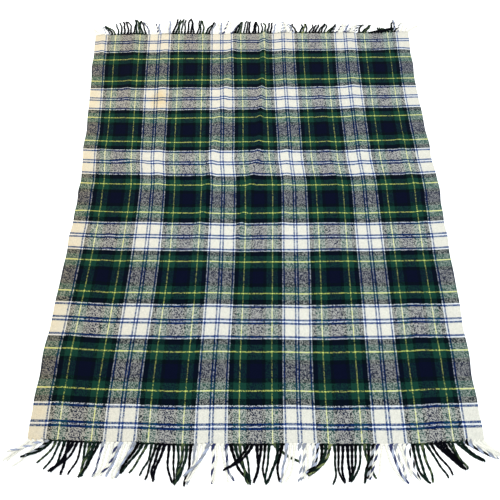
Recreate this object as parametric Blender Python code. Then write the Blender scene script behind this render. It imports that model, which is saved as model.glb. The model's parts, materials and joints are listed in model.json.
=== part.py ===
"""Fringed tartan throw, lying open on a floor.

The throw is one woven wool cloth whose warp ends are twisted into tassels at both short edges.
The cloth is divided along the two lines where it folds into thirds, so that each third is a
rigid panel: the foot third turns over onto the middle, and the head third turns over onto both.

Frame: +Z up, X across the cloth, +Y from the foot edge to the head edge, origin on the floor
under the middle of the throw. Units are metres.
"""

import math

import bmesh
import bpy

# Driving dimensions
CLOTH_WIDTH = 1.370
CLOTH_LENGTH = 1.690
CLOTH_THICKNESS = 0.004
MIDDLE_LENGTH = 0.650
FRINGE_LENGTH = 0.100

# Each side edge draws in along a smooth hollow: a long one on the left, a short one on the right
LEFT_HOLLOW_DEPTH = 0.030
LEFT_HOLLOW_START = -0.750
LEFT_HOLLOW_LENGTH = 1.700
RIGHT_HOLLOW_DEPTH = 0.009
RIGHT_HOLLOW_START = 0.150
RIGHT_HOLLOW_LENGTH = 0.750
OUTLINE_STEP = 0.045

# Gaps that keep neighbouring solids apart
FOLD_GAP = 0.0006
GROUP_GAP = 0.0004

# Heights of the two fold axes above the floor: the second fold clears the first one
FOOT_FOLD_HEIGHT = 0.009
HEAD_FOLD_HEIGHT = 0.016

# Stripes across the warp, which the tassels carry on past the cloth's ends
WHITE_STRIPE = 0.1015
DARK_STRIPE = 0.1700
WHITE_STRIPE_COUNT = 4
TASSELS_PER_DARK = 13
TASSELS_PER_WHITE = 8
TASSELS_PER_EDGE = 4

# One tassel: a pair of twisted warp bundles, flat on the floor
HEADING_DEPTH = 0.006
TASSEL_WIDTH = 0.0056
TIP_WIDTH_RATIO = 0.62
TIP_HEIGHT_RATIO = 0.55
TASSEL_STATIONS = (0.12, 0.45, 0.8, 1.0)
LENGTH_VARIATION = 0.05
CORNER_SPLAY = 0.046
SPLAY_POWER = 7
SWAY = 0.003

PALETTE = {
    "cloth_foot": (0.235, 0.300, 0.290),
    "cloth_middle": (0.225, 0.290, 0.285),
    "cloth_head": (0.245, 0.305, 0.300),
    "cream_yarn": (0.830, 0.790, 0.700),
    "white_yarn": (0.860, 0.860, 0.850),
    "dark_yarn": (0.018, 0.085, 0.065),
}


def clear_scene():
    """Remove whatever objects the file starts with."""
    for item in list(bpy.data.objects):
        bpy.data.objects.remove(item, do_unlink=True)


def yarn_material(name):
    """Return a matte wool material, made once for each palette entry."""
    material = bpy.data.materials.get(name)
    if material is None:
        material = bpy.data.materials.new(name)
        material.use_nodes = True
        shader = material.node_tree.nodes["Principled BSDF"]
        shader.inputs["Base Color"].default_value = (*PALETTE[name], 1.0)
        shader.inputs["Roughness"].default_value = 0.9
        shader.inputs["Metallic"].default_value = 0.0
    return material


def hollow(y, start, length):
    """Return how far down a hollow that runs from start for a length the point y is, from 0 to 1."""
    along = (y - start) / length
    if not 0.0 < along < 1.0:
        return 0.0
    return math.sin(math.pi * along) ** 1.5


def left_edge(y):
    """Return the x of the cloth's left side edge at y."""
    return -0.5 * CLOTH_WIDTH + LEFT_HOLLOW_DEPTH * hollow(y, LEFT_HOLLOW_START, LEFT_HOLLOW_LENGTH)


def right_edge(y):
    """Return the x of the cloth's right side edge at y."""
    return 0.5 * CLOTH_WIDTH - RIGHT_HOLLOW_DEPTH * hollow(y, RIGHT_HOLLOW_START, RIGHT_HOLLOW_LENGTH)


def fold_axis(name, y, height):
    """Return an empty on a fold's axis, whose X axis is the line that the cloth turns about."""
    empty = bpy.data.objects.new(name, None)
    empty.empty_display_size = 0.05
    empty.location = (0.0, y, height)
    bpy.context.scene.collection.objects.link(empty)
    return empty


def add_object(name, mesh_builder, material_name, axis_empty=None):
    """Link a finished bmesh as a named object, hung from its fold axis where it has one."""
    mesh = bpy.data.meshes.new(name)
    bmesh.ops.recalc_face_normals(mesh_builder, faces=mesh_builder.faces)
    if axis_empty is not None:
        bmesh.ops.translate(mesh_builder, vec=-axis_empty.location, verts=mesh_builder.verts)
    mesh_builder.to_mesh(mesh)
    mesh_builder.free()
    mesh.materials.append(yarn_material(material_name))
    item = bpy.data.objects.new(name, mesh)
    item.parent = axis_empty
    bpy.context.scene.collection.objects.link(item)
    return item


def cloth_panel(name, y_start, y_end, material_name, axis_empty=None):
    """Extrude one third of the cloth from its outline, which follows both side edges."""
    steps = math.ceil((y_end - y_start) / OUTLINE_STEP)
    stations = [y_start + (y_end - y_start) * i / steps for i in range(steps + 1)]
    outline = [(right_edge(y), y) for y in stations]
    outline += [(left_edge(y), y) for y in reversed(stations)]

    builder = bmesh.new()
    sheet = builder.faces.new([builder.verts.new((x, y, 0.0)) for x, y in outline])
    raised = bmesh.ops.extrude_face_region(builder, geom=[sheet])["geom"]
    upper = [item for item in raised if isinstance(item, bmesh.types.BMVert)]
    bmesh.ops.translate(builder, vec=(0.0, 0.0, CLOTH_THICKNESS), verts=upper)
    return add_object(name, builder, material_name, axis_empty)


def tassel_reach(index):
    """Return a tassel's length, the same for every fringe so that both ends reach equally far."""
    return FRINGE_LENGTH * (1.0 - LENGTH_VARIATION * 0.5 * (1.0 - math.cos(2.4 * index)))


def tassel_lean(x_root, share):
    """Return how far sideways a tassel has strayed at a share of its length."""
    side = x_root / (0.5 * CLOTH_WIDTH)
    splay = CORNER_SPLAY * math.copysign(abs(side) ** SPLAY_POWER, side)
    sway = SWAY * math.sin(math.tau * 3.0 * side) * (1.0 - abs(side) ** 2)
    return (splay + sway) * share ** 1.6


def grow_tassel(builder, root_face, x_root, outward, index):
    """Extrude one tassel out of the heading strip, a station at a time, tapering to its tip."""
    y_root = outward * 0.5 * CLOTH_LENGTH
    tip = root_face
    for share in TASSEL_STATIONS:
        centre = x_root + tassel_lean(x_root, share)
        half_width = 0.5 * TASSEL_WIDTH * (1.0 - (1.0 - TIP_WIDTH_RATIO) * share ** 3)
        height = CLOTH_THICKNESS * (1.0 - (1.0 - TIP_HEIGHT_RATIO) * share ** 3)
        previous_centre = tip.calc_center_median().x
        tip = bmesh.ops.extrude_discrete_faces(builder, faces=[tip])["faces"][0]
        for vert in tip.verts:
            sideways = math.copysign(half_width, vert.co.x - previous_centre)
            is_upper = vert.co.z > 0.25 * CLOTH_THICKNESS
            vert.co = (centre + sideways, y_root + outward * tassel_reach(index) * share,
                       height if is_upper else 0.0)


def fringe_group(name, x_start, x_end, count, outward, first_index, material_name, axis_empty):
    """Make one stripe's tassels and the strip of heading that they grow out of, as one solid."""
    pitch = (x_end - x_start) / count
    roots = [x_start + pitch * (i + 0.5) for i in range(count)]
    columns = [x_start]
    for x_root in roots:
        columns += [x_root - 0.5 * TASSEL_WIDTH, x_root + 0.5 * TASSEL_WIDTH]
    columns.append(x_end)
    outer_y = outward * 0.5 * CLOTH_LENGTH
    inner_y = outer_y - outward * HEADING_DEPTH

    builder = bmesh.new()
    corners = ((inner_y, 0.0), (outer_y, 0.0), (outer_y, CLOTH_THICKNESS), (inner_y, CLOTH_THICKNESS))
    rings = [[builder.verts.new((x, y, z)) for y, z in corners] for x in columns]
    tassel_faces = []
    for column, (ring, following) in enumerate(zip(rings, rings[1:])):
        for side in range(4):
            after = (side + 1) % 4
            face = builder.faces.new((ring[side], ring[after], following[after], following[side]))
            if side == 1 and column % 2 == 1:
                tassel_faces.append(face)
    builder.faces.new(rings[0])
    builder.faces.new(rings[-1])
    for offset, (face, x_root) in enumerate(zip(tassel_faces, roots)):
        grow_tassel(builder, face, x_root, outward, first_index + offset)
    return add_object(name, builder, material_name, axis_empty)


def stripe_plan():
    """Return the stripes from left to right: name, left x, right x, tassel count, yarn."""
    inner_width = (WHITE_STRIPE_COUNT + 1) * DARK_STRIPE + WHITE_STRIPE_COUNT * WHITE_STRIPE
    x = -0.5 * inner_width
    plan = [("edge_left", -0.5 * CLOTH_WIDTH, x, TASSELS_PER_EDGE, "cream_yarn")]
    for number in range(1, WHITE_STRIPE_COUNT + 2):
        plan.append((f"dark_{number}", x, x + DARK_STRIPE, TASSELS_PER_DARK, "dark_yarn"))
        x += DARK_STRIPE
        if number <= WHITE_STRIPE_COUNT:
            plan.append((f"white_{number}", x, x + WHITE_STRIPE, TASSELS_PER_WHITE, "white_yarn"))
            x += WHITE_STRIPE
    plan.append(("edge_right", x, 0.5 * CLOTH_WIDTH, TASSELS_PER_EDGE, "cream_yarn"))
    return plan


def fringe_row(end_name, outward, axis_empty):
    """Make one end's fringe, a group of tassels for each stripe of the warp."""
    first_index = 0
    for stripe, x_start, x_end, count, yarn in stripe_plan():
        fringe_group(f"fringe_{end_name}_{stripe}", x_start + 0.5 * GROUP_GAP, x_end - 0.5 * GROUP_GAP,
                     count, outward, first_index, yarn, axis_empty)
        first_index += count


def build_throw():
    """Make the three thirds of the cloth and both rows of fringe."""
    clear_scene()
    fold_y = 0.5 * MIDDLE_LENGTH
    cloth_end = 0.5 * CLOTH_LENGTH - HEADING_DEPTH - FOLD_GAP
    foot_axis = fold_axis("foot_fold_axis", -fold_y, FOOT_FOLD_HEIGHT)
    head_axis = fold_axis("head_fold_axis", fold_y, HEAD_FOLD_HEIGHT)

    cloth_panel("cloth_middle_third", -fold_y + 0.5 * FOLD_GAP, fold_y - 0.5 * FOLD_GAP, "cloth_middle")
    cloth_panel("cloth_foot_third", -cloth_end, -fold_y - 0.5 * FOLD_GAP, "cloth_foot", foot_axis)
    cloth_panel("cloth_head_third", fold_y + 0.5 * FOLD_GAP, cloth_end, "cloth_head", head_axis)
    fringe_row("foot", -1.0, foot_axis)
    fringe_row("head", 1.0, head_axis)


if __name__ == "__main__":
    build_throw()
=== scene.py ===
"""Looks of a fringed tartan throw that lies open on a pale floor.

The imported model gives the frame: three thirds of cloth that fold about two lines, and a comb of
tassels for each stripe at both ends. This script lays a woven cloth and twisted tassels in their
place. Units are metres, +Y runs from the foot edge to the head edge, and the cloth's own flat
coordinates are u, across the warp, and v, along it, both counted from the middle of the cloth.
"""

import json
import logging
import math
import random
from dataclasses import dataclass, field
from enum import Enum
from typing import Any, Sequence

import bpy
import numpy as np
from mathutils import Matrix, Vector


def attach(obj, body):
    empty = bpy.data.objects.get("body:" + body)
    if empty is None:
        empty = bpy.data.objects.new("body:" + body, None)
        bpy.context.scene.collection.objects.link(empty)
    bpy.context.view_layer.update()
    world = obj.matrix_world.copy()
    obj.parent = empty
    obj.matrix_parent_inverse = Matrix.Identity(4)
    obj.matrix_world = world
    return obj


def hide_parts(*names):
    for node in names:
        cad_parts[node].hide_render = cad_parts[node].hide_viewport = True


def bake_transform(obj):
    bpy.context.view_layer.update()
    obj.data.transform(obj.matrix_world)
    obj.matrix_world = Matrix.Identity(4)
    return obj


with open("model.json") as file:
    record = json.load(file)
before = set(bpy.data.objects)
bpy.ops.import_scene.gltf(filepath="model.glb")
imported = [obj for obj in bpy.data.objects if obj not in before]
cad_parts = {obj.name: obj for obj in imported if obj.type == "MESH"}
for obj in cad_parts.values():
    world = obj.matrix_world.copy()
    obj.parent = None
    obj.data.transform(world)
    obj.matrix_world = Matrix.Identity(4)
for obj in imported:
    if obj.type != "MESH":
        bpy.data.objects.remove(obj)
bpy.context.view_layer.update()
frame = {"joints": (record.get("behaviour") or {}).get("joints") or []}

LOG = logging.getLogger("throw")
MILLIMETRE = 0.001
WEAVE_UV = "weave"

Rgba = tuple[float, float, float, float]
Triple = tuple[float, float, float]


def linear(channel: float) -> float:
    """Return a display colour channel as scene light.

    Args:
        channel: The channel as a screen shows it, from 0 to 1.

    Returns:
        The same channel on the linear scale that shaders use.
    """
    if channel <= 0.04045:
        return channel / 12.92
    return ((channel + 0.055) / 1.055) ** 2.4


class Yarn(Enum):
    """The dyed yarns on the loom, as they look in daylight."""

    WHITE = (0.870, 0.885, 0.915)
    CREAM = (0.800, 0.792, 0.752)
    BLUE = (0.045, 0.175, 0.400)
    YELLOW = (0.770, 0.800, 0.410)
    GREEN = (0.062, 0.208, 0.168)
    BLACK = (0.006, 0.038, 0.060)
    NAVY = (0.013, 0.029, 0.112)

    def rgba(self) -> Rgba:
        """Return the yarn's colour for a shader socket."""
        return (*(linear(channel) for channel in self.value), 1.0)


class End(Enum):
    """The two short edges of the cloth, and which way along Y each one faces."""

    FOOT = -1
    HEAD = 1


@dataclass(frozen=True)
class Stripe:
    """A run of neighbouring threads of one yarn."""

    yarn: Yarn
    threads: int


@dataclass(frozen=True)
class Sett:
    """The thread count of the check, from the middle of a white band to the middle of a dark one.

    The same count runs mirrored about both ends, in the warp and in the weft.
    """

    stripes: tuple[Stripe, ...] = (
        Stripe(Yarn.WHITE, 1),
        Stripe(Yarn.BLUE, 3),
        Stripe(Yarn.CREAM, 17),
        Stripe(Yarn.BLUE, 3),
        Stripe(Yarn.WHITE, 2),
        Stripe(Yarn.BLACK, 8),
        Stripe(Yarn.GREEN, 9),
        Stripe(Yarn.YELLOW, 2),
        Stripe(Yarn.GREEN, 10),
        Stripe(Yarn.BLACK, 6),
        Stripe(Yarn.NAVY, 10),
    )
    warp_repeat: float = 0.2715
    weft_repeat: float = 0.3185
    warp_white_middle: float = -0.1378
    weft_white_middle: float = -0.1600
    twisted_yellow: float = 0.35

    @property
    def half_threads(self) -> int:
        """Return the threads in half a repeat."""
        return sum(stripe.threads for stripe in self.stripes)

    @property
    def warp_pitch(self) -> float:
        """Return the distance between neighbouring warp threads."""
        return 0.5 * self.warp_repeat / self.half_threads

    @property
    def weft_pitch(self) -> float:
        """Return the distance between neighbouring weft threads."""
        return 0.5 * self.weft_repeat / self.half_threads

    def ramp_stops(self, twisted: bool) -> list[tuple[float, Rgba]]:
        """Return where each stripe starts, as a share of half a repeat, with its colour.

        Args:
            twisted: Whether the threads are twisted in a tassel, where the thin yellow line is
                half hidden by its green neighbours.

        Returns:
            The stops in order.
        """
        stops = []
        count = 0
        for stripe in self.stripes:
            colour = stripe.yarn.rgba()
            if twisted and stripe.yarn is Yarn.YELLOW:
                pairs = zip(colour, Yarn.GREEN.rgba())
                colour = tuple(self.twisted_yellow * a + (1.0 - self.twisted_yellow) * b for a, b in pairs)
            stops.append((count / self.half_threads, colour))
            count += stripe.threads
        return stops


class Signal:
    """An output socket that can be used in Python expressions, each of which adds a Math node."""

    def __init__(self, bench: "NodeBench", socket: bpy.types.NodeSocket) -> None:
        """Wrap a socket.

        Args:
            bench: The node tree that the socket belongs to.
            socket: The output socket.
        """
        self.bench = bench
        self.socket = socket

    def math(self, operation: str, *others: Any) -> "Signal":
        """Return the result of a Math node whose first value is this signal.

        Args:
            operation: The Math node's operation.
            *others: Its further values, as signals or numbers.

        Returns:
            The node's output.
        """
        return self.bench.math(operation, self, *others)

    def __add__(self, other: Any) -> "Signal":
        """Return this plus other."""
        return self.math("ADD", other)

    def __radd__(self, other: Any) -> "Signal":
        """Return other plus this."""
        return self.math("ADD", other)

    def __sub__(self, other: Any) -> "Signal":
        """Return this minus other."""
        return self.math("SUBTRACT", other)

    def __rsub__(self, other: Any) -> "Signal":
        """Return other minus this."""
        return self.bench.math("SUBTRACT", other, self)

    def __mul__(self, other: Any) -> "Signal":
        """Return this times other."""
        return self.math("MULTIPLY", other)

    def __rmul__(self, other: Any) -> "Signal":
        """Return other times this."""
        return self.math("MULTIPLY", other)

    def __truediv__(self, other: Any) -> "Signal":
        """Return this divided by other."""
        return self.math("DIVIDE", other)

    def __rtruediv__(self, other: Any) -> "Signal":
        """Return other divided by this."""
        return self.bench.math("DIVIDE", other, self)

    def __mod__(self, period: Any) -> "Signal":
        """Return this wrapped into 0 to period."""
        return self.math("FLOORED_MODULO", period)

    def __lt__(self, other: Any) -> "Signal":
        """Return 1 where this is below other, and 0 elsewhere."""
        return self.math("LESS_THAN", other)

    def __gt__(self, other: Any) -> "Signal":
        """Return 1 where this is above other, and 0 elsewhere."""
        return self.math("GREATER_THAN", other)

    def __abs__(self) -> "Signal":
        """Return the size of this without its sign."""
        return self.math("ABSOLUTE")

    def floor(self) -> "Signal":
        """Return the whole number below this."""
        return self.math("FLOOR")

    def fraction(self) -> "Signal":
        """Return the part of this past its whole number."""
        return self.math("FRACT")


class NodeBench:
    """A material's node tree, with one method that makes any node in it."""

    def __init__(self, name: str) -> None:
        """Start a material with nothing but its shader and output.

        Args:
            name: The material's name.
        """
        self.material = bpy.data.materials.new(name)
        self.material.use_nodes = True
        self.tree = self.material.node_tree
        self.shader = self.tree.nodes["Principled BSDF"]

    def node(
        self,
        kind: str,
        settings: dict[str, Any] | None = None,
        inputs: dict[Any, Any] | None = None,
        output: Any = 0,
    ) -> Signal:
        """Add a node.

        Args:
            kind: The node's type, without the ShaderNode prefix.
            settings: The node's own settings, set before its sockets. A ramp's stops are given
                as a list of places and colours.
            inputs: Values or signals for its sockets, by name or index.
            output: The name or index of the output to return.

        Returns:
            The chosen output.
        """
        made = self.tree.nodes.new("ShaderNode" + kind)
        for key, value in (settings or {}).items():
            if key == "stops":
                self._set_stops(made.color_ramp, value)
            elif key == "interpolation" and kind == "ValToRGB":
                made.color_ramp.interpolation = value
            else:
                setattr(made, key, value)
        for key, value in (inputs or {}).items():
            self.feed(made.inputs[key], value)
        return Signal(self, made.outputs[output])

    @staticmethod
    def _set_stops(ramp: bpy.types.ColorRamp, stops: Sequence[tuple[float, Rgba]]) -> None:
        """Give a colour ramp these stops and no others.

        Args:
            ramp: The colour ramp.
            stops: Places from 0 to 1 with their colours, in order.
        """
        while len(ramp.elements) > 1:
            ramp.elements.remove(ramp.elements[-1])
        ramp.elements[0].position, ramp.elements[0].color = stops[0]
        for place, colour in stops[1:]:
            ramp.elements.new(place).color = colour

    def feed(self, socket: bpy.types.NodeSocket, value: Any) -> None:
        """Link a signal to a socket, or set the socket to a plain value.

        Args:
            socket: The input socket.
            value: A signal, a number, a vector or a colour.
        """
        if isinstance(value, Signal):
            self.tree.links.new(value.socket, socket)
        else:
            socket.default_value = value

    def math(self, operation: str, *values: Any) -> Signal:
        """Return the output of a Math node with these values."""
        return self.node("Math", {"operation": operation}, dict(enumerate(values)))

    def mix(self, factor: Any, first: Any, second: Any, blend: str = "MIX") -> Signal:
        """Mix two colours.

        Args:
            factor: How much of the second colour shows.
            first: A colour or a signal.
            second: A colour or a signal.
            blend: The Mix node's blend type.

        Returns:
            The mixed colour.
        """
        settings = {"data_type": "RGBA", "blend_type": blend}
        return self.node("Mix", settings, {0: factor, 6: first, 7: second}, 2)

    def mix_values(self, factor: Any, first: Any, second: Any) -> Signal:
        """Return first where factor is 0 and second where it is 1."""
        return self.node("Mix", {"data_type": "FLOAT"}, {0: factor, 2: first, 3: second}, 0)

    def vector(self, x: Any, y: Any, z: Any = 0.0) -> Signal:
        """Return a vector made of three values."""
        return self.node("CombineXYZ", inputs={0: x, 1: y, 2: z})

    def flat_place(self) -> tuple[Signal, Signal]:
        """Read the weave's UV map.

        Returns:
            The cloth's own coordinates u and v.
        """
        place = self.node("UVMap", {"uv_map": WEAVE_UV})
        across = self.node("SeparateXYZ", inputs={0: place}, output=0)
        along = self.node("SeparateXYZ", inputs={0: place}, output=1)
        return across, along

    def noise(self, place: Signal, scale: float, detail: float = 2.0) -> Signal:
        """Return smooth noise from 0 to 1 at a place."""
        inputs = {"Vector": place, "Scale": scale, "Detail": detail, "Roughness": 0.55}
        return self.node("TexNoise", {"noise_dimensions": "3D"}, inputs, "Fac")

    def chance(self, column: Signal, row: Signal) -> Signal:
        """Return a number from 0 to 1 that differs from one whole column and row to the next."""
        inputs = {"Vector": self.vector(column, row)}
        return self.node("TexWhiteNoise", {"noise_dimensions": "2D"}, inputs)

    def rise(self, value: Signal, start: float, end: float, top: float) -> Signal:
        """Return 0 where value is at start, top where it is at end, and in between between them."""
        return self.node("MapRange", inputs={0: value, 1: start, 2: end, 3: 0.0, 4: top})

    def shade(self, colour: Signal, light: Signal) -> Signal:
        """Return a colour with all its channels times light."""
        return self.mix(1.0, colour, self.vector(light, light, light), "MULTIPLY")

    def finish(self, colour: Signal, height: Signal, relief: float, strength: float) -> None:
        """Feed the shader its colour and a bump from a height.

        Args:
            colour: The base colour.
            height: The height of the surface, from 0 to 1.
            relief: How far apart 0 and 1 are, in metres.
            strength: The bump's strength.
        """
        inputs = {"Height": height, "Distance": relief, "Strength": strength}
        self.feed(self.shader.inputs["Base Color"], colour)
        self.feed(self.shader.inputs["Normal"], self.node("Bump", inputs=inputs))

    def set_constants(self, values: dict[str, Any]) -> None:
        """Set the shader's sockets that are the same all over the surface."""
        for name, value in values.items():
            self.shader.inputs[name].default_value = value


DRY_WOOL = {"Roughness": 0.95, "Specular IOR Level": 0.04, "Sheen Weight": 0.02, "Sheen Roughness": 0.45}


def dyed_threads(bench: NodeBench, sett: Sett, thread: Signal, twisted: bool = False) -> Signal:
    """Colour threads by the sett, mirrored about both its ends.

    Args:
        bench: The node tree to build in.
        sett: The thread count.
        thread: The thread's number, counted from the middle of a white band.
        twisted: Whether the threads are twisted in a tassel.

    Returns:
        The colour of the thread.
    """
    half = float(sett.half_threads)
    settings = {"stops": sett.ramp_stops(twisted), "interpolation": "CONSTANT"}
    return bench.node("ValToRGB", settings, {0: bench.math("PINGPONG", thread, half) / half})


def warp_colour(bench: NodeBench, sett: Sett, thread: Signal, u: Signal, twisted: bool = False) -> Signal:
    """Colour the warp: the sett, and plain cream outside it along both side edges.

    Args:
        bench: The node tree to build in.
        sett: The thread count.
        thread: The warp thread's number, counted from the middle of a white band.
        u: The flat place across the warp.
        twisted: Whether the threads are twisted in a tassel.

    Returns:
        The colour of the warp thread at this place.
    """
    banded = dyed_threads(bench, sett, thread, twisted)
    return bench.mix(abs(u) > ClothSize.cream_edge_start, banded, Yarn.CREAM.rgba())


@dataclass(frozen=True)
class WarmLightAndStain:
    """Painted warm light towards the left edge and towards the head, and yellowing in one old stain."""

    tint: Rgba = (1.0, 0.80, 0.52, 1.0)
    blotch_scale: float = 22.0
    # The edge, side and head ramps are painted warm light, warmer towards the left edge and the head; the
    # stain ramp is a real old stain.
    edge: Triple = (-0.57, -0.66, 0.55)
    side: Triple = (-0.28, -0.50, 0.20)
    head_warm_light: Triple = (0.25, 1.25, 0.45)
    warm_light_slant: float = 0.9
    stain: Triple = (1.15, 0.30, 0.90)
    stain_u: float = -0.395
    stain_v: float = 0.475
    stain_width: float = 0.055
    stain_length: float = 0.070

    def add_warm_light_and_stain(self, bench: NodeBench, colour: Signal, u: Signal, v: Signal, flat: Signal) -> Signal:
        """Tint a colour with painted warm light towards the left edge and the head, and with one old stain.
        Each kind of tint has a start, an end and an amount.

        Args:
            bench: The node tree to build in.
            colour: The cloth's colour before the painted warm light and the stain.
            u: The flat place across the warp.
            v: The flat place along the warp.
            flat: Both as a vector.

        Returns:
            The colour with the painted warm light and the stain on it.
        """
        blotch = bench.noise(flat, self.blotch_scale, 3.0)
        # Painted warm light: warmer towards the left edge and, along a slant, towards the head.
        edge = bench.rise(u, *self.edge) * (0.5 + blotch)
        head_warm_light = bench.rise(v - u * self.warm_light_slant, *self.head_warm_light) * (0.7 + blotch * 0.6)
        aside = (u - self.stain_u) / self.stain_width
        ahead = (v - self.stain_v) / self.stain_length
        spread = bench.math("SQRT", aside * aside + ahead * ahead) + (blotch - 0.5)
        amount = bench.math("MAXIMUM", edge, head_warm_light)
        for other in (bench.rise(u, *self.side), bench.rise(spread, *self.stain)):
            amount = bench.math("MAXIMUM", amount, other)
        return bench.mix(amount, colour, self.tint, "MULTIPLY")


@dataclass(frozen=True)
class TartanFinish:
    """Felted wool cloth in 2/2 twill, every thread in its own colour.

    The felted nap hides most of the true twill. What shows is small tufts of the one yarn or the
    other. weft_face is the share of the cloth's face where the weft lies on top, in the middle of
    the cloth, and evenness is how regularly the tufts of warp alternate with it. The crests say how
    wide the top of each yarn is, and felting how far the grooves between the yarns are closed.
    """

    sett: Sett = Sett()
    twill_repeat: float = 4.0
    warp_float: float = 2.0
    twill_share: float = 0.12
    yarn_wobble: float = 0.45
    wobble_scale: float = 70.0
    tuft_across: float = 0.0034
    tuft_along: float = 0.0040
    tuft_wander: float = 1.6
    tuft_stagger: float = 0.37
    evenness: float = 0.27
    weft_face: float = 0.62
    weft_face_slope: float = 0.08
    felting: float = 0.80
    warp_crest: float = 0.50
    weft_crest: float = 1.15
    # mingling and the pit fields set the painted shade deep between the yarns: darkest where dark crosses
    # light, deeper towards the foot, with a painted cool tint.
    mingling: float = 0.50
    pit_shade_depth: float = 0.53
    pit_shade_slope: float = 0.8
    pit_shade_tint: Triple = (-0.12, 0.0, 0.15)
    crossing_variation: float = 0.20
    selvedge_width: float = 0.0034
    selvedge_cover: float = 0.8
    fibre_scale: float = 1500.0
    fibre_relief: float = 0.2
    bump_relief: float = 0.0008
    bump_strength: float = 0.65

    def build(self) -> bpy.types.Material:
        """Weave the cloth's material.

        Returns:
            The material.
        """
        bench = NodeBench("tartan_twill")
        sett = self.sett
        u, v = bench.flat_place()
        flat = bench.vector(u, v)
        drift = bench.noise(flat, self.wobble_scale) - 0.5
        sway = bench.noise(bench.vector(v, u, 3.0), self.wobble_scale) - 0.5
        warp_thread = (u - sett.warp_white_middle) / sett.warp_pitch + drift * self.yarn_wobble
        weft_thread = (v - sett.weft_white_middle) / sett.weft_pitch + sway * self.yarn_wobble
        warp_number, weft_number = warp_thread.floor(), weft_thread.floor()
        warp = warp_colour(bench, sett, warp_thread, u)
        weft = dyed_threads(bench, sett, weft_thread)

        is_float = (warp_number + weft_number) % self.twill_repeat < self.warp_float
        warp_on_top = bench.mix_values(self.twill_share, self.tuft(bench, u, v, drift, sway), is_float)
        is_selvedge = abs(u) > (ClothSize.width / 2 - self.selvedge_width)
        shown = bench.mix(warp_on_top * (1.0 - is_selvedge * self.selvedge_cover), weft, warp)

        off_warp, off_weft = (abs(thread.fraction() - 0.5) * 2.0 for thread in (warp_thread, weft_thread))
        groove = bench.mix_values(warp_on_top, off_weft, off_warp)
        crest = bench.mix_values(warp_on_top, self.weft_crest, self.warp_crest)
        open_groove = bench.math("POWER", groove, crest)
        # Painted shade: how far each place sinks into the groove between the yarns, where the shaded colour
        # is mixed in.
        groove_shade = bench.mix_values(self.felting, open_groove, 1.0 / (crest + 1.0))
        yarns = bench.mix(groove_shade, shown, self.between(bench, warp, weft, v))

        fibres = bench.noise(flat, self.fibre_scale, 1.0)
        crossing = 1.0 + self.crossing_variation * (bench.chance(warp_number, weft_number) - 0.5)
        new = bench.shade(yarns, self.light(bench, flat, crossing, fibres))
        height = (1.0 - groove * groove) * (1.0 - self.fibre_relief) + fibres * self.fibre_relief
        # Painted warm light towards the left edge and the head, with one real old stain, laid over the
        # cloth's colour.
        colour = WarmLightAndStain().add_warm_light_and_stain(bench, new, u, v, flat)
        bench.finish(colour, height, self.bump_relief, self.bump_strength)
        bench.set_constants(DRY_WOOL)
        return bench.material

    def tuft(self, bench: NodeBench, u: Signal, v: Signal, drift: Signal, sway: Signal) -> Signal:
        """Scatter tufts of warp over the face of the cloth, along both diagonals.

        Args:
            bench: The node tree to build in.
            u: The flat place across the warp.
            v: The flat place along the warp.
            drift: Smooth noise about 0 that bends the columns of tufts.
            sway: The same for the rows.

        Returns:
            1 on a tuft of warp, and 0 where the weft shows.
        """
        column = ((u + v) / self.tuft_across + drift * self.tuft_wander).floor()
        leaning = (u - v) / self.tuft_along + column * self.tuft_stagger
        row = (leaning + sway * self.tuft_wander).floor()
        random_share = 1.0 - self.evenness
        spread_out = bench.chance(column, row) * random_share + (column + row) % 2.0 * self.evenness
        face = self.weft_face + self.weft_face_slope * v
        return spread_out > (face * random_share + 0.5 * self.evenness)

    def between(self, bench: NodeBench, warp: Signal, weft: Signal, v: Signal) -> Signal:
        """Return the colour deep between the yarns: the two yarns' colours mixed, with painted shade
        darkest where a dark one crosses a light one, and a painted cool tint.

        Args:
            bench: The node tree to build in.
            warp: The warp yarn's colour.
            weft: The weft yarn's colour.
            v: The flat place along the warp, because the painted shade is deeper towards the foot.

        Returns:
            The colour.
        """
        both = bench.mix(1.0, weft, warp, "MULTIPLY")
        level = bench.node("Gamma", inputs={"Color": both, "Gamma": self.mingling})
        warp_grey, weft_grey = (bench.node("RGBToBW", inputs={0: yarn}) for yarn in (warp, weft))
        contrast = abs(warp_grey - weft_grey)
        # Painted shade in the pits, deeper towards the foot, with a painted cool tint: less red and more
        # blue.
        painted_pit_shade = contrast * self.pit_shade_depth * (1.0 - self.pit_shade_slope * v)
        shadow = (1.0 - painted_pit_shade + contrast * channel for channel in self.pit_shade_tint)
        return bench.mix(1.0, level, bench.vector(*shadow), "MULTIPLY")

    @staticmethod
    def light(bench: NodeBench, flat: Signal, crossing: Signal, fibres: Signal) -> Signal:
        """Return how light the wool is, from its fibres up to the whole cloth.

        Args:
            bench: The node tree to build in.
            flat: The flat place as a vector.
            crossing: The lightness of each crossing of two threads.
            fibres: The finest noise.

        Returns:
            A factor of about 1.
        """
        fine = crossing * (0.90 + 0.20 * fibres)
        broad = (0.95 + 0.10 * bench.noise(flat, 5.0, 3.0)) * (0.93 + 0.14 * bench.noise(flat, 90.0, 2.0))
        return fine * broad


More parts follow.
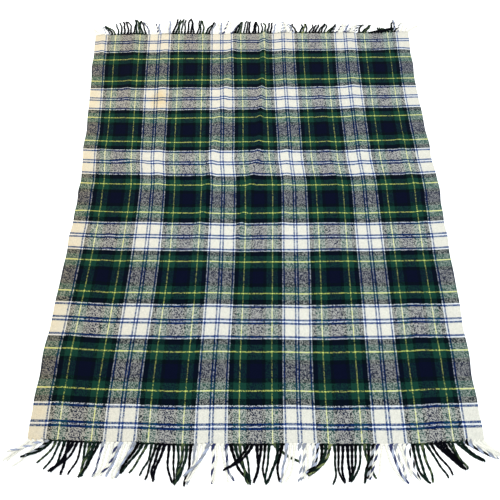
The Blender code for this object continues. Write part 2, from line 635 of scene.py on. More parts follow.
@dataclass(frozen=True)
class TasselFinish:
    """Twisted warp yarn: each ply keeps the colour of the threads that it was."""

    sett: Sett = Sett()
    strand_pitch: float = 0.0042
    ply_reach: float = 0.0016
    twist_shade: float = 0.2
    depth: float = 1.42
    vividness: float = 0.72
    bump_relief: float = 0.0009
    bump_strength: float = 0.6

    def build(self) -> bpy.types.Material:
        """Twist the tassels' material.

        Returns:
            The material.
        """
        bench = NodeBench("twisted_yarn")
        u, v = bench.flat_place()
        near, far = (self.threads_at(bench, u + side * self.ply_reach) for side in (-1.0, 1.0))
        both = bench.mix(1.0, near, far, "MULTIPLY")
        twisted = bench.node("Gamma", inputs={"Color": both, "Gamma": 0.5})
        blended = bench.mix(self.twist_shade, bench.mix(0.5, near, far), twisted)
        deep = bench.node("Gamma", inputs={"Color": blended, "Gamma": self.depth})
        dyed = bench.node("HueSaturation", inputs={"Color": deep, "Saturation": self.vividness})
        place = bench.node("TexCoord", output="Object")
        fuzz = bench.noise(place, 900.0, 3.0)
        tuft = bench.noise(place, 160.0, 2.0)
        strand_relief_and_shade = bench.math("PINGPONG", v, 0.5 * self.strand_pitch) / (0.5 * self.strand_pitch)
        # Painted shade along the twist: lighter on each strand's crest, darker between strands; the same
        # wave gives the bump's height.
        light = 1.20 + 0.26 * strand_relief_and_shade + 0.28 * fuzz + 0.20 * (tuft - 0.5)
        height = strand_relief_and_shade * 0.6 + fuzz * 0.4
        bench.finish(bench.shade(dyed, light), height, self.bump_relief, self.bump_strength)
        bench.set_constants(DRY_WOOL)
        return bench.material

    def threads_at(self, bench: NodeBench, u: Signal) -> Signal:
        """Return the colour of the warp threads that leave the cloth at u."""
        thread = (u - self.sett.warp_white_middle) / self.sett.warp_pitch
        return warp_colour(bench, self.sett, thread, u, twisted=True)


@dataclass(frozen=True)
class FloorFinish:
    """A seamless white studio floor."""

    white: float = 0.94
    cloudiness: float = 0.01
    glow: float = 0.35

    def build(self) -> bpy.types.Material:
        """Make the floor's material.

        Returns:
            The material.
        """
        bench = NodeBench("studio_floor")
        cloud = bench.noise(bench.node("TexCoord", output="Object"), 1.5, 2.0)
        level = self.white + (cloud - 0.5) * self.cloudiness
        bench.feed(bench.shader.inputs["Base Color"], bench.vector(level, level, level))
        bench.set_constants({
            "Roughness": 0.8, "Specular IOR Level": 0.1,
            "Emission Color": (1.0, 1.0, 1.0, 1.0), "Emission Strength": self.glow,
        })
        return bench.material


def activate(piece: bpy.types.Object) -> None:
    """Select one object, and nothing else, and make it the active one.

    Args:
        piece: The object.
    """
    bpy.ops.object.select_all(action="DESELECT")
    piece.select_set(True)
    bpy.context.view_layer.objects.active = piece


def apply_modifier(piece: bpy.types.Object, kind: str, settings: dict[str, Any]) -> None:
    """Add a modifier to a piece and apply it at once.

    Args:
        piece: The object.
        kind: The modifier's type.
        settings: Its settings by name.
    """
    activate(piece)
    modifier = piece.modifiers.new(kind.lower(), kind)
    for key, value in settings.items():
        setattr(modifier, key, value)
    bpy.ops.object.modifier_apply(modifier=modifier.name)


def read_points(piece: bpy.types.Object) -> np.ndarray:
    """Read a mesh's vertices.

    Args:
        piece: The object.

    Returns:
        Rows x, y, z.
    """
    flat = np.zeros(3 * len(piece.data.vertices), np.float32)
    piece.data.vertices.foreach_get("co", flat)
    return flat.reshape(-1, 3).astype(float)


def write_points(piece: bpy.types.Object, points: np.ndarray) -> None:
    """Move a mesh's vertices to the rows of an array."""
    piece.data.vertices.foreach_set("co", points.astype(np.float32).ravel())
    piece.data.update()


def write_uv(piece: bpy.types.Object, places: np.ndarray) -> None:
    """Give a mesh the weave's UV map.

    Args:
        piece: The object, whose first UV map is used and renamed.
        places: A row u, v for each face corner.
    """
    layer = piece.data.uv_layers[0]
    layer.name = WEAVE_UV
    layer.data.foreach_set("uv", places.astype(np.float32).ravel())


def loop_vertices(piece: bpy.types.Object) -> np.ndarray:
    """Read which vertex each face corner of a mesh stands on.

    Args:
        piece: The object.

    Returns:
        The vertices' numbers.
    """
    numbers = np.zeros(len(piece.data.loops), np.int32)
    piece.data.loops.foreach_get("vertex_index", numbers)
    return numbers


@dataclass(frozen=True)
class Ridge:
    """A soft fold standing up from the floor along a straight line on the flat cloth."""

    u_start: float
    v_start: float
    u_end: float
    v_end: float
    height: float
    half_width: float

    def relief(self, u: np.ndarray, v: np.ndarray) -> np.ndarray:
        """Work out how high the ridge lifts the cloth.

        Args:
            u: Flat places across the warp.
            v: Flat places along the warp.

        Returns:
            The heights, which fade out over a quarter of the ridge at each end.
        """
        run_u = self.u_end - self.u_start
        run_v = self.v_end - self.v_start
        length = math.hypot(run_u, run_v)
        along = ((u - self.u_start) * run_u + (v - self.v_start) * run_v) / length ** 2
        aside = ((u - self.u_start) * run_v - (v - self.v_start) * run_u) / length
        ends = np.clip(np.minimum(along, 1.0 - along) * 4.0 + 0.1, 0.0, 1.0)
        fade = ends * ends * (3.0 - 2.0 * ends)
        return self.height * fade * np.exp(-((aside / self.half_width) ** 2))


class ClothSize:
    """The flat cloth, as it came off the loom.

    Each side edge draws in along a hollow, which is given by its start, its length and its depth.
    """

    width = 1.370
    length = 1.690
    thickness = 0.0024
    cream_edge_start = 0.641
    left_hollow = (-0.75, 1.70, 0.030)
    right_hollow = (0.15, 0.75, 0.009)


def ease(value: np.ndarray, start: float, end: float) -> np.ndarray:
    """Return a smooth step from 0 at start to 1 at end."""
    along = np.clip((value - start) / (end - start), 0.0, 1.0)
    return along * along * (3.0 - 2.0 * along)


def hollow(v: np.ndarray, start: float, length: float) -> np.ndarray:
    """Return a smooth hump from 0 to 1 and back, between start and start plus length."""
    along = np.clip((v - start) / length, 0.0, 1.0)
    return np.sin(np.pi * along) ** 1.5


WOOL_CLOTH = {
    "quality": 6, "mass": 0.25, "tension_stiffness": 25.0, "compression_stiffness": 25.0,
    "shear_stiffness": 10.0, "bending_stiffness": 2.0, "air_damping": 4.0,
}


@dataclass
class Cloth:
    """The woven cloth: how it lies, the short settling of its folds, and its two halves."""

    ridges: tuple[Ridge, ...] = (
        Ridge(0.073, 1.150, -0.006, 0.020, 0.0070, 0.011),
        Ridge(0.008, 0.230, -0.095, -0.220, 0.0056, 0.014),
        Ridge(-0.050, 1.000, -0.245, -0.260, 0.0066, 0.018),
        Ridge(0.138, 1.000, 0.128, 0.180, 0.0052, 0.024),
        Ridge(0.130, 0.300, 0.080, -0.170, 0.0048, 0.020),
        Ridge(-0.380, 1.000, -0.390, -0.150, 0.0052, 0.022),
        Ridge(0.425, 1.000, 0.410, -0.050, 0.0050, 0.024),
        Ridge(0.270, 0.640, 0.300, -0.120, 0.0040, 0.022),
        Ridge(-0.500, 1.050, -0.540, 0.350, 0.0046, 0.020),
        Ridge(-0.655, 1.000, -0.650, 0.660, 0.0050, 0.013),
        Ridge(-0.640, 0.215, -0.400, 0.120, 0.0060, 0.016),
        Ridge(-0.700, -0.060, -0.480, -0.085, 0.0040, 0.014),
        Ridge(0.480, 0.700, 0.690, 0.760, 0.0040, 0.020),
        Ridge(0.300, 0.545, 0.690, 0.520, 0.0028, 0.022),
        Ridge(-0.690, 0.545, -0.200, 0.525, 0.0028, 0.020),
        Ridge(-0.150, 0.225, 0.690, 0.240, 0.0020, 0.022),
        Ridge(0.560, 0.340, 0.620, -0.160, 0.0046, 0.020),
        Ridge(-0.540, -0.080, -0.560, -0.420, 0.0034, 0.020),
        Ridge(-0.690, -0.430, 0.100, -0.400, 0.0016, 0.024),
        Ridge(-0.600, -0.500, -0.615, -0.900, 0.0026, 0.020),
        Ridge(0.200, -0.300, 0.190, -0.700, 0.0022, 0.024),
        Ridge(0.520, -0.350, 0.560, -0.900, 0.0024, 0.022),
    )
    coarse_step: float = 0.015
    fine_step: float = 0.006
    fold_step: float = 0.002
    fold_reach: float = 0.032
    crease_pull: float = 0.45
    press_depth: float = 0.60
    nibble: float = 0.0013
    ripple: float = 0.0005
    settle_frames: int = 8
    settle_limit: float = 0.004
    drift: np.ndarray | None = field(default=None, init=False)

    def lay(self, u: np.ndarray, v: np.ndarray) -> np.ndarray:
        """Lay flat places on the floor.

        Args:
            u: Flat places across the warp.
            v: Flat places along the warp.

        Returns:
            Rows x, y, z of the cloth's underside.
        """
        x = u + self.side_edges(u, v) + MILLIMETRE * self.sideways_pull(u, v)
        y = v + MILLIMETRE * self.lengthways_pull(u, v) + self.crease_pull * self.ridge_height(u, v)
        return np.stack([x, y, self.relief(u, v)], axis=-1)

    def side_edges(self, u: np.ndarray, v: np.ndarray) -> np.ndarray:
        """Draw the side edges in along their hollows, and nibble at them.

        Args:
            u: Flat places across the warp.
            v: Flat places along the warp.

        Returns:
            How far the cloth moves to the right.
        """
        half = 0.5 * ClothSize.width
        from_right = (half - u) / ClothSize.width
        *left, left_depth = ClothSize.left_hollow
        *right, right_depth = ClothSize.right_hollow
        bow_in = left_depth * hollow(v, *left) * from_right ** 1.2
        bow_out = right_depth * hollow(v, *right) * (1.0 - from_right) ** 3
        wave = np.sin(31.0 * v + 0.6) + 0.9 * np.sin(53.0 * v + 2.0 * np.sin(7.0 * v))
        nibble = self.nibble * (np.abs(u) / half) ** 10 * wave
        return bow_in - bow_out + np.sign(u) * nibble

    @staticmethod
    def sideways_pull(u: np.ndarray, v: np.ndarray) -> np.ndarray:
        """Push the cloth to the right, as whoever laid it out did by chance.

        Args:
            u: Flat places across the warp.
            v: Flat places along the warp.

        Returns:
            The push in millimetres.
        """
        shift = 6.0 - 10.0 * ease(v, 0.05, 0.20) - 3.0 * ease(-v, 0.30, 0.70)
        crowding = 2.0 + 4.0 * hollow(v, -0.75, 0.95)
        wander = 1.2 * np.sin(9.0 * u + 5.0 * v) + 0.8 * np.sin(23.0 * u - 9.0 * v + 1.0)
        return shift - crowding * np.sin(4.2 * (u - 0.10)) + wander

    @staticmethod
    def lengthways_pull(u: np.ndarray, v: np.ndarray) -> np.ndarray:
        """Pull the cloth towards the head, as whoever laid it out did by chance.

        Args:
            u: Flat places across the warp.
            v: Flat places along the warp.

        Returns:
            The pull in millimetres.
        """
        side = 2.0 * u / ClothSize.width
        foot_droop = 11.0 * np.clip((-0.70 - v) / 0.145, 0.0, None) ** 1.2
        middle = -9.0 + 7.0 * hollow(v, -0.74, 0.66) - foot_droop
        edges = 11.0 - 11.0 * ease(v, 0.20, 0.70)
        tilt = 9.0 * ease(v, 0.10, 0.50) - 2.5 * ease(-v, 0.10, 0.50)
        wander = 1.2 * np.sin(11.0 * u + 7.0 * v) + 0.8 * np.sin(27.0 * u + 3.0 * v + 1.0)
        return middle + edges * np.abs(side) ** 3 + tilt * side + wander

    def ridge_height(self, u: np.ndarray, v: np.ndarray) -> np.ndarray:
        """Return how high the ridges would lift the cloth if nothing pressed them."""
        return sum(ridge.relief(u, v) for ridge in self.ridges)

    def relief(self, u: np.ndarray, v: np.ndarray) -> np.ndarray:
        """Work out how high the cloth's underside stands above the floor.

        The crease in the middle is pressed lower where the folded foot fringe comes to lie on it.

        Args:
            u: Flat places across the warp.
            v: Flat places along the warp.

        Returns:
            The heights.
        """
        pressed = self.press_depth * hollow(v, 0.12, 0.26) * np.exp(-(((u - 0.01) / 0.05) ** 2))
        height = self.ridge_height(u, v) * (1.0 - pressed)
        ripple = np.sin(17.0 * u + 4.0 * np.sin(5.0 * v)) * np.sin(13.0 * v + 2.0 * np.sin(7.0 * u))
        return height + self.ripple * (1.0 + ripple)

    def build(self) -> list[bpy.types.Object]:
        """Make the cloth's two halves, which meet in the middle of its middle third.

        Returns:
            The foot half and the head half.
        """
        self.drift = self.settle()
        material = TartanFinish().build()
        fold_lines = [joint["pos_m"][1] for joint in frame["joints"]]
        half = 0.5 * ClothSize.length
        foot = self.half("cloth_foot_half", -half, 0.0, min(fold_lines), material)
        head = self.half("cloth_head_half", 0.0, half, max(fold_lines), material)
        return [foot, head]

    def settle(self) -> np.ndarray:
        """Let the laid cloth sink under its own weight for a moment.

        Returns:
            How far each point of the coarse grid moved, by row, column and axis.
        """
        columns = round(ClothSize.width / self.coarse_step)
        rows = round(ClothSize.length / self.coarse_step)
        bpy.ops.object.select_all(action="DESELECT")
        bpy.ops.mesh.primitive_plane_add(size=4.0, location=(0.0, 0.0, -MILLIMETRE))
        ground = bpy.context.object
        ground.modifiers.new("ground", "COLLISION")
        ground.collision.thickness_outer = MILLIMETRE
        ground.collision.cloth_friction = 60.0
        sheet, u, v = self.grid("settling_cloth", self.even(columns, 0.5 * ClothSize.width),
                                self.even(rows, 0.5 * ClothSize.length))
        start = self.lay(u, v)
        write_points(sheet, start)
        cloth = sheet.modifiers.new("settle", "CLOTH")
        for name, value in WOOL_CLOTH.items():
            setattr(cloth.settings, name, value)
        cloth.collision_settings.distance_min = MILLIMETRE
        cloth.collision_settings.friction = 60.0
        cloth.collision_settings.use_self_collision = False
        for number in range(1, self.settle_frames + 1):
            bpy.context.scene.frame_set(number)
        graph = bpy.context.evaluated_depsgraph_get()
        settled = read_points(sheet.evaluated_get(graph))
        bpy.context.scene.frame_set(1)
        bpy.data.objects.remove(sheet)
        bpy.data.objects.remove(ground)
        moved = np.clip(settled - start, -self.settle_limit, self.settle_limit)
        LOG.info("settling moved the cloth by up to %.1f mm", 1000.0 * float(np.abs(moved).max()))
        return moved.reshape(rows + 1, columns + 1, 3)

    @staticmethod
    def even(count: int, half: float) -> np.ndarray:
        """Return evenly spaced stations from minus half to plus half."""
        return np.linspace(-half, half, count + 1)

    @staticmethod
    def grid(
        name: str, across: np.ndarray, along: np.ndarray
    ) -> tuple[bpy.types.Object, np.ndarray, np.ndarray]:
        """Add a grid with a vertex at each pair of stations.

        Args:
            name: The new object's name.
            across: Stations across the warp.
            along: Stations along the warp.

        Returns:
            The object, and the flat u and v of each of its vertices.
        """
        bpy.ops.object.select_all(action="DESELECT")
        bpy.ops.mesh.primitive_grid_add(
            x_subdivisions=len(across) - 1, y_subdivisions=len(along) - 1, size=1.0
        )
        piece = bpy.context.object
        piece.name = name
        unit = read_points(piece)
        column = np.rint((unit[:, 0] + 0.5) * (len(across) - 1)).astype(int)
        row = np.rint((unit[:, 1] + 0.5) * (len(along) - 1)).astype(int)
        return piece, across[column], along[row]

    def stations(self, start: float, end: float, fold: float) -> np.ndarray:
        """Return stations along the warp, close together about a fold line.

        Args:
            start: The first station.
            end: The last station.
            fold: The fold line, in the middle of the close stations.

        Returns:
            The stations in order.
        """
        before, after = fold - self.fold_reach, fold + self.fold_reach
        runs = (
            (start, before, self.fine_step),
            (before, after, self.fold_step),
            (after, end, self.fine_step),
        )
        pieces = [np.linspace(a, b, round((b - a) / step) + 1)[:-1] for a, b, step in runs]
        return np.append(np.concatenate(pieces), end)

    def half(
        self, name: str, start: float, end: float, fold: float, material: bpy.types.Material
    ) -> bpy.types.Object:
        """Make one half of the cloth as a closed sheet.

        Args:
            name: The piece's name.
            start: Where the half starts along the warp.
            end: Where it ends.
            fold: The fold line across it, where its rows lie closer together.
            material: The cloth's material.

        Returns:
            The piece.
        """
        across = self.even(round(ClothSize.width / self.fine_step), 0.5 * ClothSize.width)
        piece, u, v = self.grid(name, across, self.stations(start, end, fold))
        points = self.lay(u, v)
        if self.drift is not None:
            points = points + self.drift_at(u, v)
        points[:, 2] = np.maximum(points[:, 2], 0.0)
        write_points(piece, points)
        write_uv(piece, np.stack([u, v], axis=-1)[loop_vertices(piece)])
        piece.data.materials.append(material)
        apply_modifier(piece, "SOLIDIFY", {"thickness": ClothSize.thickness, "offset": 1.0})
        bpy.ops.object.shade_smooth_by_angle(angle=math.radians(60.0))
        return piece

    def drift_at(self, u: np.ndarray, v: np.ndarray) -> np.ndarray:
        """Read the settling of the coarse grid, smoothly between its points.

        Args:
            u: Flat places across the warp.
            v: Flat places along the warp.

        Returns:
            Rows of how far each place moves.
        """
        rows, columns = self.drift.shape[0] - 1, self.drift.shape[1] - 1
        place_u = (u / ClothSize.width + 0.5) * columns
        place_v = (v / ClothSize.length + 0.5) * rows
        total = np.zeros((len(u), 3))
        base_u, base_v = np.floor(place_u), np.floor(place_v)
        for step_v in range(-1, 3):
            weight_v = self.spline(place_v - base_v - step_v)
            row = np.clip(base_v + step_v, 0, rows).astype(int)
            for step_u in range(-1, 3):
                weight = weight_v * self.spline(place_u - base_u - step_u)
                column = np.clip(base_u + step_u, 0, columns).astype(int)
                total += weight[:, None] * self.drift[row, column]
        return total

    @staticmethod
    def spline(distance: np.ndarray) -> np.ndarray:
        """Weigh grid points for a cubic B-spline.

        Args:
            distance: How many steps away they are.

        Returns:
            Their weights.
        """
        d = np.abs(distance)
        near = 2.0 / 3.0 - d * d + 0.5 * d ** 3
        far = np.clip(2.0 - d, 0.0, None) ** 3 / 6.0
        return np.where(d < 1.0, near, far)


@dataclass(frozen=True)
class Lock:
    """Neighbouring tassels that lie the same way, with sizes in millimetres.

    lean is how far their tips stray to the right, reach how far from the cloth they get, gather
    how much of the space between them closes up at the tips, and bow their bulge to the right.
    """

    count: int
    lean: float
    reach: float
    gather: float = 0.3
    bow: float = 0.0


def lay_locks(*rows: tuple[float, ...]) -> tuple[Lock, ...]:
    """Return a row of locks from their values, in the order of Lock's fields."""
    return tuple(Lock(*row) for row in rows)


FOOT_LOCKS = lay_locks(
    (2, -70, 58, 0.2, -14), (1, -60, 73), (1, -97, 28, 0.0, -6), (2, -76, 46, 0.7, 10),
    (1, -50, 62, 0.0, 6), (1, -34, 76), (1, -26, 86), (1, -9, 92, 0.0, -6), (2, -66, 84, 0.6, 8),
    (1, -31, 91, 0.0, 5), (1, 2, 91, 0.0, -9), (3, -31, 94, 0.8), (2, -24, 94),
    (2, -32, 91, 0.3, 8), (4, -37, 96, 0.4, -5), (2, -53, 85, 0.9, -4), (1, -50, 80),
    (1, -32, 90, 0.0, 5), (1, -26, 101), (2, -23, 101, 0.95, -7), (1, 11, 103, 0.0, -6),
    (2, -3, 106, 0.8, 4), (2, -25, 106, 0.8, 12), (1, -16, 110), (1, -16, 110, 0.0, 5),
    (2, -44, 98, 0.3, 5), (1, -69, 89), (2, -8, 108, 0.4, 6), (2, 24, 102, 0.4, -5),
    (2, 54, 101, 0.5, -4), (2, 22, 108, 0.9, 5), (2, -78, 70, 0.4, 8), (1, -9, 104, 0.0, 9),
    (1, -24, 99, 0.0, 5), (2, -7, 108, 0.8, -7), (1, 74, 48, 0.0, 0), (1, -43, 106, 0.0, 10),
    (1, -14, 106, 0.0, -8), (3, -26, 106, 0.4), (2, -9, 100, 0.4, 7), (2, -15, 97, 0.4, 6),
    (4, -48, 80, 0.8, 18), (1, -9, 106, 0.0, 8), (2, 2, 105, 0.8, -7), (1, 0, 104, 0.0, 4),
    (2, -16, 102, 0.7, 6), (1, -31, 102, 0.0, 6), (1, 31, 93, 0.0, -10), (1, -26, 102, 0.0, 5),
    (2, -30, 94, 0.3, 4), (1, -22, 85), (2, 41, 102, 0.4, -6), (2, 24, 92, 0.2, 7),
    (2, 32, 98, 0.5, -6), (2, 29, 103, 0.9, -10), (1, 20, 104), (1, 50, 94, 0.0, 8),
    (1, 56, 84, 0.0, 7), (5, 57, 72, 0.85, 4), (2, 63, 52, 0.6, 5), (2, 84, 46, 0.5, 7),
    (3, 70, 40, 0.3, 5),
)

HEAD_LOCKS = lay_locks(
    (2, -30, 42, 0.3, -8), (2, -12, 44, 0.3, -10), (3, -36, 46, 0.9, 10), (1, -18, 60),
    (2, -12, 73, 0.1, 4), (2, -17, 79, 0.1, 6), (3, -8, 85, 0.8), (2, -25, 79, 0.5, -4),
    (2, -33, 72, 0.3, 5), (3, -10, 65, 0.3, -5), (3, 5, 70), (2, 17, 88, 0.2, 4),
    (3, 8, 86, 0.7, -4), (3, -4, 86, 0.8), (3, -3, 79, 0.6, 5), (3, 25, 63, 0.6, -5),
    (3, 5, 68, 0.3, 4), (3, 16, 75, 0.4), (4, 22, 63, 0.7), (3, 13, 74, 0.4, -4),
    (3, 0, 66, 0.6, 4), (2, -4, 61, 0.3, 4), (2, 10, 61, 0.3, -4), (2, 10, 54), (3, 2, 60, 0.4, 4),
    (4, -15, 52, 0.3, -5), (3, 8, 50, 0.4, 4), (3, 18, 50, 0.3, 5), (3, 20, 48, 0.5, 4),
    (3, 28, 46, 0.7), (4, 24, 48, 0.3, 4), (5, 30, 46, 0.4, -5), (2, 35, 40, 0.5),
    (5, 88, 20, 0.3, 16), (3, -30, 24, 0.5, -9), (2, 9, 66, 0.95, -5), (2, 16, 54, 0.4),
    (1, 16, 30, 0.0, 6), (1, 48, 36, 0.0, 6),
)


@dataclass
class TasselPattern:
    """One tassel as it is modelled once, straight up from the origin, and then copied and bent."""

    radius: float = 0.0050
    sides: int = 6
    rings: int = 24
    flatness: float = 0.75
    turn: float = math.radians(50.0)
    tip_scale: float = 0.80

    def build(self) -> bpy.types.Object:
        """Extrude a flattened ring upwards, turning it a little at every step.

        Returns:
            The straight tassel, one metre long.
        """
        bpy.ops.object.select_all(action="DESELECT")
        bpy.ops.mesh.primitive_circle_add(vertices=self.sides, radius=self.radius, fill_type="NGON",
                                          calc_uvs=True, location=(0.0, 0.0, 0.0))
        pattern = bpy.context.object
        pattern.name = "tassel_pattern"
        bpy.ops.object.mode_set(mode="EDIT")
        bpy.ops.mesh.select_all(action="SELECT")
        bpy.ops.transform.resize(value=(1.0, self.flatness, 1.0), center_override=(0.0, 0.0, 0.0))
        step = 1.0 / self.rings
        shrink = self.tip_scale ** step
        for ring in range(self.rings):
            top = (0.0, 0.0, step * (ring + 1))
            bpy.ops.mesh.extrude_region_move(TRANSFORM_OT_translate={"value": (0.0, 0.0, step)})
            bpy.ops.transform.rotate(value=self.turn, orient_axis="Z", center_override=top)
            bpy.ops.transform.resize(value=(shrink, shrink, 1.0), center_override=top)
        bpy.ops.mesh.select_all(action="SELECT")
        bpy.ops.mesh.normals_make_consistent(inside=False)
        bpy.ops.object.mode_set(mode="OBJECT")
        bpy.ops.object.shade_smooth_by_angle(angle=math.radians(70.0))
        return pattern

    def plies(self, pattern: bpy.types.Object) -> np.ndarray:
        """Tell the two plies of the pattern apart.

        Args:
            pattern: The straight tassel.

        Returns:
            For each face corner, -1 or 1.
        """
        points = read_points(pattern)
        side = np.zeros(len(pattern.data.loops))
        for face in pattern.data.polygons:
            centre = points[list(face.vertices)].mean(axis=0)
            twist = self.signed_turn(pattern) * centre[2] * self.rings
            across = centre[0] * math.cos(twist) + centre[1] * math.sin(twist)
            corners = slice(face.loop_start, face.loop_start + face.loop_total)
            side[corners] = 1.0 if across > 0.0 else -1.0
        return side

    def signed_turn(self, pattern: bpy.types.Object) -> float:
        """Measure the turn from one ring to the next.

        Args:
            pattern: The straight tassel.

        Returns:
            The turn in radians, less any half turns, which an oval ring doesn't show.
        """
        points = read_points(pattern)
        first = points[np.abs(points[:, 2]) < 1e-5]
        corner = first[np.argmax(first[:, 0])]
        second = points[np.abs(points[:, 2] - 1.0 / self.rings) < 1e-5]
        reach = np.hypot(second[:, 0], second[:, 1])
        tips = second[reach > 0.97 * reach.max()]
        angles = np.arctan2(tips[:, 1], tips[:, 0]) - math.atan2(corner[1], corner[0])
        wrapped = (angles + 0.5 * math.pi) % math.pi - 0.5 * math.pi
        return float(wrapped[np.argmin(np.abs(wrapped - wrapped.mean()))])


@dataclass
class FringeRow:
    """The twisted warp ends at one short edge of the cloth."""

    end: End
    locks: tuple[Lock, ...]
    body: str
    seed: int
    tassel_count: int = 105
    path_points: int = 25
    root_inset: float = 0.004
    ply_spread: float = 0.0034
    squash: float = 0.62
    loop_opening: float = 0.011
    curliness: float = 0.0030
    neighbours: int = 14
    layer: float = 0.0050
    highest: float = 0.0068
    dark_stripes: int = 5

    def build(
        self, cloth: Cloth, pattern: bpy.types.Object, plies: np.ndarray, material: bpy.types.Material
    ) -> list[bpy.types.Object]:
        """Make the row, a piece for each stripe.

        Args:
            cloth: The cloth that the tassels grow out of.
            pattern: The straight tassel that is copied.
            plies: Which ply each of its face corners belongs to.
            material: The tassels' material.

        Returns:
            The pieces, from left to right.
        """
        roots = self.roots()
        paths = self.settle_layers(self.paths(cloth, roots))
        pieces = []
        first = 0
        for stripe, count, slot in self.stripes():
            numbers = range(first, first + count)
            copies = [self.bend(pattern, plies, roots[i], paths[i], i) for i in numbers]
            pieces.append(self.join(copies, stripe, slot, material))
            first += count
        LOG.info("%s fringe: %d tassels in %d pieces", self.end.name.lower(), first, len(pieces))
        return pieces

    def stripes(self) -> list[tuple[str, int, str]]:
        """List the stripes of the warp from left to right.

        Returns:
            For each stripe, its name, its number of tassels and its material slot.
        """
        listed = [("edge_left", 4, "cream_yarn")]
        for number in range(1, self.dark_stripes + 1):
            listed.append((f"dark_{number}", 13, "dark_yarn"))
            if number < self.dark_stripes:
                listed.append((f"white_{number}", 8, "white_yarn"))
        return [*listed, ("edge_right", 4, "cream_yarn")]

    @property
    def pitch(self) -> float:
        """Return the distance between neighbouring tassels at the cloth."""
        return ClothSize.width / self.tassel_count

    def roots(self) -> np.ndarray:
        """Return where each tassel leaves the cloth, across the warp."""
        return -0.5 * ClothSize.width + self.pitch * (np.arange(self.tassel_count) + 0.5)

    def paths(self, cloth: Cloth, roots: np.ndarray) -> list[np.ndarray]:
        """Return the middle line of every tassel, lying on the floor.

        Args:
            cloth: The cloth that they grow out of.
            roots: Where each one leaves it.

        Returns:
            For each tassel, rows x, y, z.
        """
        chance = random.Random(self.seed)
        edge_v = self.end.value * (0.5 * ClothSize.length - self.root_inset)
        starts = cloth.lay(roots, np.full(len(roots), edge_v))
        share = np.linspace(0.0, 1.0, self.path_points)
        lines = []
        index = 0
        for lock in self.locks:
            middle = 0.5 * (lock.count - 1)
            for number in range(lock.count):
                closing = (middle - number) * self.pitch * lock.gather
                lean = lock.lean * MILLIMETRE + chance.uniform(-0.0025, 0.0025)
                reach = lock.reach * MILLIMETRE + self.root_inset + chance.uniform(-0.004, 0.003)
                bow = lock.bow * MILLIMETRE + chance.uniform(-0.004, 0.004)
                bow += (number - middle) * lock.gather * self.loop_opening / max(lock.count - 1, 1)
                wave = self.curliness * np.sin(share * chance.uniform(6.0, 11.0) + chance.uniform(0.0, 6.0))
                curve = self.curve(share, (
                    (0.14 * lean + 0.45 * closing + 0.5 * bow, 0.36 * reach),
                    (0.60 * lean + 0.95 * closing + 1.3 * bow, 0.74 * reach),
                    (lean + closing, reach),
                ))
                line = np.zeros((self.path_points, 3))
                line[:, 0] = starts[index, 0] + curve[:, 0] + wave * share
                line[:, 1] = starts[index, 1] + self.end.value * curve[:, 1]
                line[:, 2] = 0.0026 + 0.0006 * (1.0 - share) + starts[index, 2] * (1.0 - share) ** 3
                lines.append(line)
                index += 1
        return lines

    @staticmethod
    def curve(share: np.ndarray, controls: Sequence[tuple[float, float]]) -> np.ndarray:
        """Draw a Bezier curve from the origin.

        Args:
            share: How far along it each point is, from 0 to 1.
            controls: Its two control points and its end.

        Returns:
            A row for each point.
        """
        first, second, tip = (np.array(point) for point in controls)
        points = (3 * (1 - share) ** 2 * share)[:, None] * first
        points = points + (3 * (1 - share) * share ** 2)[:, None] * second
        return points + (share ** 3)[:, None] * tip

    def settle_layers(self, lines: list[np.ndarray]) -> list[np.ndarray]:
        """Lift each tassel over the ones that were laid before it, where it crosses them.

        Args:
            lines: The tassels' middle lines, from left to right, which are changed.

        Returns:
            The same lines.
        """
        laid: list[np.ndarray] = []
        for line in lines:
            below = np.concatenate(laid[-self.neighbours:]) if laid else np.zeros((0, 3))
            needed = line[:, 2].copy()
            for station in range(3, len(line)):
                gap = np.hypot(*(below[:, :2] - line[station, :2]).T)
                near = gap < self.layer
                if near.any():
                    over = below[near, 2] + self.layer * np.sqrt(1.0 - (gap[near] / self.layer) ** 2)
                    needed[station] = max(needed[station], float(over.max()))
            needed = np.minimum(needed, self.highest)
            for _ in range(3):
                middle = 0.5 * (needed[:-2] + needed[2:])
                needed[1:-1] = np.maximum(needed[1:-1], middle - 0.0002)
            line[:, 2] = needed
            laid.append(line)
        return laid

    def bend(
        self, pattern: bpy.types.Object, plies: np.ndarray, root: float, line: np.ndarray, number: int
    ) -> bpy.types.Object:
        """Copy the straight tassel and bend the copy along a line.

        Args:
            pattern: The straight tassel.
            plies: Which ply each of its face corners belongs to.
            root: Where the tassel leaves the cloth, across the warp.
            line: Its middle line.
            number: Its place in the row, which varies its thickness.

        Returns:
            The bent copy.
        """
        copy = pattern.copy()
        copy.data = pattern.data.copy()
        bpy.context.scene.collection.objects.link(copy)
        points = read_points(copy)
        share = np.clip(points[:, 2], 0.0, 1.0)
        stations = np.linspace(0.0, 1.0, len(line))
        slope = np.gradient(line, axis=0)
        centre, heading = (
            np.stack([np.interp(share, stations, rows[:, axis]) for axis in range(3)], axis=-1)
            for rows in (line, slope)
        )
        heading /= np.linalg.norm(heading, axis=1)[:, None]
        aside = np.stack([heading[:, 1], -heading[:, 0], np.zeros(len(share))], axis=-1)
        aside /= np.linalg.norm(aside, axis=1)[:, None]
        upward = np.cross(aside, heading)
        thickness = 1.0 + 0.12 * math.sin(5.1 * number)
        fan = np.exp(-share / 0.07)
        width = points[:, 0] * thickness * (1.0 + 1.3 * fan)
        depth = points[:, 1] * thickness * self.squash * (1.0 - 0.45 * fan)
        placed = centre + width[:, None] * aside + depth[:, None] * upward
        placed[:, 2] = np.maximum(placed[:, 2], 0.0001)
        write_points(copy, placed)
        length = float(np.linalg.norm(np.diff(line, axis=0), axis=1).sum())
        along = share[loop_vertices(copy)] * length
        write_uv(copy, np.stack([root + plies * self.ply_spread, along], axis=-1))
        return copy

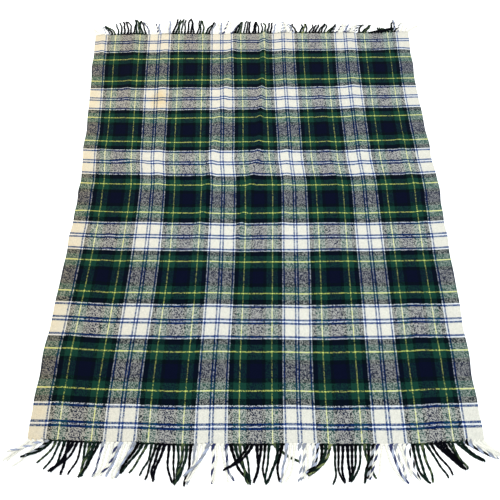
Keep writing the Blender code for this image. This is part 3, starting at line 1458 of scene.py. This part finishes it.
    def join(
        self, copies: list[bpy.types.Object], stripe: str, slot: str, material: bpy.types.Material
    ) -> bpy.types.Object:
        """Join a stripe's tassels into one piece and hang it on the frame.

        Args:
            copies: The bent tassels.
            stripe: The stripe's name.
            slot: The record's material slot; not used.
            material: The tassels' material.

        Returns:
            The piece.
        """
        activate(copies[0])
        for copy in copies:
            copy.select_set(True)
        bpy.ops.object.join()
        piece = bpy.context.object
        end = self.end.name.lower()
        piece.name = f"tassels_{end}_{stripe}"
        piece.data.materials.clear()
        piece.data.materials.append(material)
        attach(piece, self.body)
        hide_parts(f"fringe_{end}_{stripe}")
        return piece


@dataclass(frozen=True)
class Lamp:
    """A soft box in the studio."""

    name: str
    place: Triple
    size: float
    power: float
    colour: Triple


@dataclass
class Studio:
    """The floor, the lights and the camera, none of which belong to the throw."""

    camera_place: Triple = (-0.015, -1.027, 1.681)
    camera_tilt: float = math.radians(25.73)
    lens: float = 38.16
    floor_size: float = 40.0
    sky: float = 0.60
    sky_colour: Rgba = (0.94, 0.97, 1.0, 1.0)
    lamps: tuple[Lamp, ...] = (
        Lamp("key_light", (-1.6, 1.9, 2.6), 1.6, 71.0, (1.0, 0.96, 0.87)),
        Lamp("fill_light", (1.4, -1.5, 2.6), 2.4, 52.0, (0.84, 0.94, 1.0)),
        Lamp("top_light", (0.0, 0.4, 3.2), 2.6, 44.0, (1.0, 1.0, 1.0)),
    )

    def build(self) -> None:
        """Set up the whole studio."""
        self.lay_floor()
        for lamp in self.lamps:
            self.hang(lamp)
        self.light_sky()
        self.place_camera()

    def lay_floor(self) -> None:
        """Lay a wide pale floor under the throw."""
        bpy.ops.object.select_all(action="DESELECT")
        bpy.ops.mesh.primitive_plane_add(size=self.floor_size, location=(0.0, 0.0, 0.0))
        floor = bpy.context.object
        floor.name = "floor"
        floor.data.materials.append(FloorFinish().build())

    @staticmethod
    def hang(lamp: Lamp) -> None:
        """Hang a soft box that shines at the middle of the throw.

        Args:
            lamp: The soft box.
        """
        bpy.ops.object.light_add(type="AREA", location=lamp.place)
        light = bpy.context.object
        light.name = lamp.name
        light.data.size = lamp.size
        light.data.energy = lamp.power
        light.data.color = lamp.colour
        light.rotation_euler = (-Vector(lamp.place)).to_track_quat("-Z", "Y").to_euler()

    def light_sky(self) -> None:
        """Light the studio evenly from all round."""
        world = bpy.data.worlds.new("studio_sky")
        world.use_nodes = True
        background = world.node_tree.nodes["Background"]
        background.inputs["Color"].default_value = self.sky_colour
        background.inputs["Strength"].default_value = self.sky
        bpy.context.scene.world = world

    def place_camera(self) -> None:
        """Look down at the throw from above its foot edge."""
        data = bpy.data.cameras.new("camera")
        data.lens = self.lens
        data.sensor_width = 36.0
        camera = bpy.data.objects.new("camera", data)
        bpy.context.scene.collection.objects.link(camera)
        camera.location = self.camera_place
        camera.rotation_euler = (self.camera_tilt, 0.0, 0.0)
        bpy.context.scene.camera = camera
        bpy.context.scene.view_settings.view_transform = "Standard"


class FoldBend:
    """How far to each side of its line a fold would bend the cloth, more where the line is higher. Nothing
    in this script uses these values.
    """

    foot_reach = 0.012
    head_reach = 0.018


def hang_cloth(halves: Sequence[bpy.types.Object]) -> None:
    """Args:
        halves: The foot half and the head half.
    """
    foot, head = halves
    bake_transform(foot)
    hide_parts("cloth_foot_third", "cloth_middle_third")
    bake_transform(head)
    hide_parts("cloth_head_third")


def main() -> None:
    """Build the throw and its studio."""
    logging.basicConfig(level=logging.INFO, format="%(name)s: %(message)s")
    Studio().build()
    cloth = Cloth()
    halves = cloth.build()
    for piece in halves:
        LOG.info("%s: %d faces", piece.name, len(piece.data.polygons))
    tassel = TasselPattern()
    pattern = tassel.build()
    plies = tassel.plies(pattern)
    yarn = TasselFinish().build()
    rows = (
        FringeRow(End.FOOT, FOOT_LOCKS, "foot_flap", seed=7),
        FringeRow(End.HEAD, HEAD_LOCKS, "head_flap", seed=11),
    )
    for row in rows:
        row.build(cloth, pattern, plies, yarn)
    bpy.data.objects.remove(pattern)
    hang_cloth(halves)


if __name__ == "__main__":
    main()
